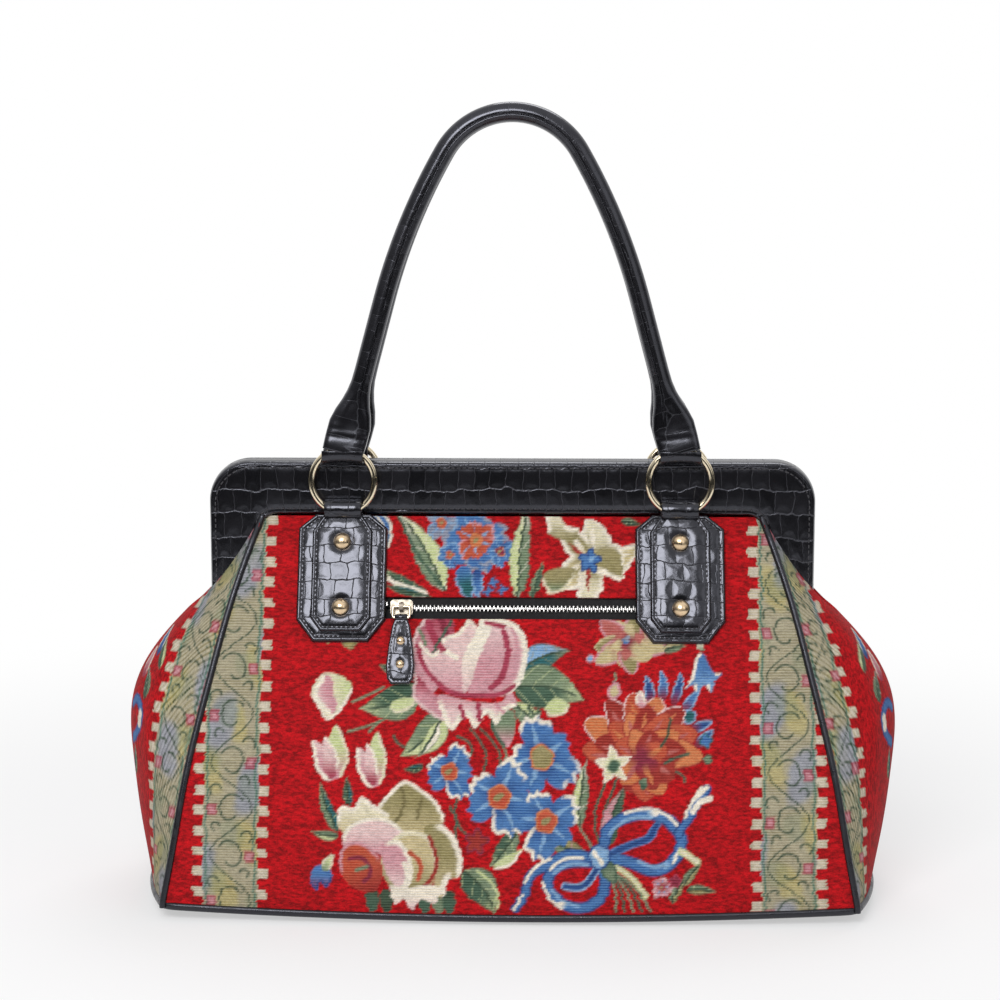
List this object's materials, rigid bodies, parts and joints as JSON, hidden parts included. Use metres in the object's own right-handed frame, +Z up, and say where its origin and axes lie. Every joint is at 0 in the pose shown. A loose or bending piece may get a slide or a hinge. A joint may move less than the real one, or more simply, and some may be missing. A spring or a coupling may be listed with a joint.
{
  "type": "satchel",
  "caption": "Carpet-cloth satchel with a hinged leather frame, rolled handles on O-rings, a front zip pocket and a footed base.",
  "frame": {"origin": "middle of the footprint, on the surface that the feet stand on", "axes": "+X along the mouth to the right of the zip side, +Y from the zip side to the plain side, +Z up"},
  "size_m": [0.4556, 0.1746, 0.4623],
  "materials": {
    "carpet_cloth": "woven floral tapestry with a chenille ground",
    "black_leather": "glossy crocodile-embossed",
    "board": "plain stiffener board",
    "lining_cloth": "plain black lining",
    "frame_steel": "bare strip steel",
    "pale_gold": "polished pale gold plate",
    "zip_tape": "black herringbone tape",
    "zip_silver": "bright metal teeth"
  },
  "bodies": {
    "bag_body": {"front_panel": "carpet_cloth", "rear_panel": "carpet_cloth", "left_gusset": "carpet_cloth", "right_gusset": "carpet_cloth", "front_left_piping": "black_leather", "front_right_piping": "black_leather", "rear_left_piping": "black_leather", "rear_right_piping": "black_leather", "base_panel": "black_leather", "base_board": "board", "base_feet": "pale_gold", "lining": "lining_cloth", "zip_pocket": "lining_cloth", "left_hinge_pin": "frame_steel", "right_hinge_pin": "frame_steel"},
    "front_frame": {"front_frame_cover": "black_leather", "front_frame_bar": "frame_steel", "front_magnets": "frame_steel", "front_left_patch": "black_leather", "front_right_patch": "black_leather", "front_left_tab": "black_leather", "front_right_tab": "black_leather", "front_left_studs": "pale_gold", "front_right_studs": "pale_gold", "zip_upper_tape": "zip_tape", "zip_lower_tape": "zip_tape", "zip_upper_teeth": "zip_silver", "zip_lower_teeth": "zip_silver", "zip_stops": "zip_silver"},
    "rear_frame": {"rear_frame_cover": "black_leather", "rear_frame_bar": "frame_steel", "rear_magnets": "frame_steel", "rear_left_patch": "black_leather", "rear_right_patch": "black_leather", "rear_left_tab": "black_leather", "rear_right_tab": "black_leather", "rear_left_studs": "pale_gold", "rear_right_studs": "pale_gold"},
    "front_left_ring": {"front_left_ring": "pale_gold"},
    "front_right_ring": {"front_right_ring": "pale_gold"},
    "rear_left_ring": {"rear_left_ring": "pale_gold"},
    "rear_right_ring": {"rear_right_ring": "pale_gold"},
    "front_handle": {"front_handle": "black_leather"},
    "rear_handle": {"rear_handle": "black_leather"},
    "zip_slider": {"zip_slider": "pale_gold"},
    "zip_pull": {"zip_pull_bail": "pale_gold", "zip_pull_tab": "black_leather", "zip_pull_studs": "pale_gold"}
  },
  "joints": [
    {"name": "front_frame_open", "type": "hinge", "parent": "bag_body", "child": "front_frame", "pos_m": [0, 0, 0.1635], "axis": [1, 0, 0], "range_deg": [0, 30], "deforming": ["front_panel", "left_gusset", "right_gusset", "front_left_piping", "front_right_piping", "lining", "zip_pocket"]},
    {"name": "rear_frame_open", "type": "hinge", "parent": "bag_body", "child": "rear_frame", "pos_m": [0, 0, 0.1635], "axis": [-1, 0, 0], "range_deg": [0, 30], "deforming": ["rear_panel", "rear_left_piping", "rear_right_piping"]},
    {"name": "front_left_ring_swing", "type": "hinge", "parent": "front_frame", "child": "front_left_ring", "pos_m": [-0.098, -0.0174, 0.2276], "axis": [1, 0, 0], "range_deg": [0, 85]},
    {"name": "front_right_ring_swing", "type": "hinge", "parent": "front_frame", "child": "front_right_ring", "pos_m": [0.098, -0.0174, 0.2276], "axis": [1, 0, 0], "range_deg": [0, 85]},
    {"name": "front_handle_swing", "type": "hinge", "parent": "front_left_ring", "child": "front_handle", "pos_m": [-0.098, -0.0174, 0.26093], "axis": [1, 0, 0], "range_deg": [0, 45]},
    {"name": "rear_left_ring_swing", "type": "hinge", "parent": "rear_frame", "child": "rear_left_ring", "pos_m": [-0.098, 0.0174, 0.2276], "axis": [-1, 0, 0], "range_deg": [0, 85]},
    {"name": "rear_right_ring_swing", "type": "hinge", "parent": "rear_frame", "child": "rear_right_ring", "pos_m": [0.098, 0.0174, 0.2276], "axis": [-1, 0, 0], "range_deg": [0, 85]},
    {"name": "rear_handle_swing", "type": "hinge", "parent": "rear_left_ring", "child": "rear_handle", "pos_m": [-0.098, 0.0174, 0.26093], "axis": [-1, 0, 0], "range_deg": [0, 45]},
    {"name": "zip_slide", "type": "slide", "parent": "front_frame", "child": "zip_slider", "axis": [1, 0, 0], "range_m": [0, 0.126], "deforming": ["zip_upper_tape", "zip_lower_tape", "zip_upper_teeth", "zip_lower_teeth"]},
    {"name": "zip_pull_swing", "type": "hinge", "parent": "zip_slider", "child": "zip_pull", "pos_m": [-0.063, -0.03873, 0.17433], "axis": [-1, 0, 0], "range_deg": [0, 140]}
  ],
  "couplings": [
    {"joint": "front_right_ring_swing", "follows": "front_left_ring_swing", "ratio": 1},
    {"joint": "rear_right_ring_swing", "follows": "rear_left_ring_swing", "ratio": 1}
  ]
}
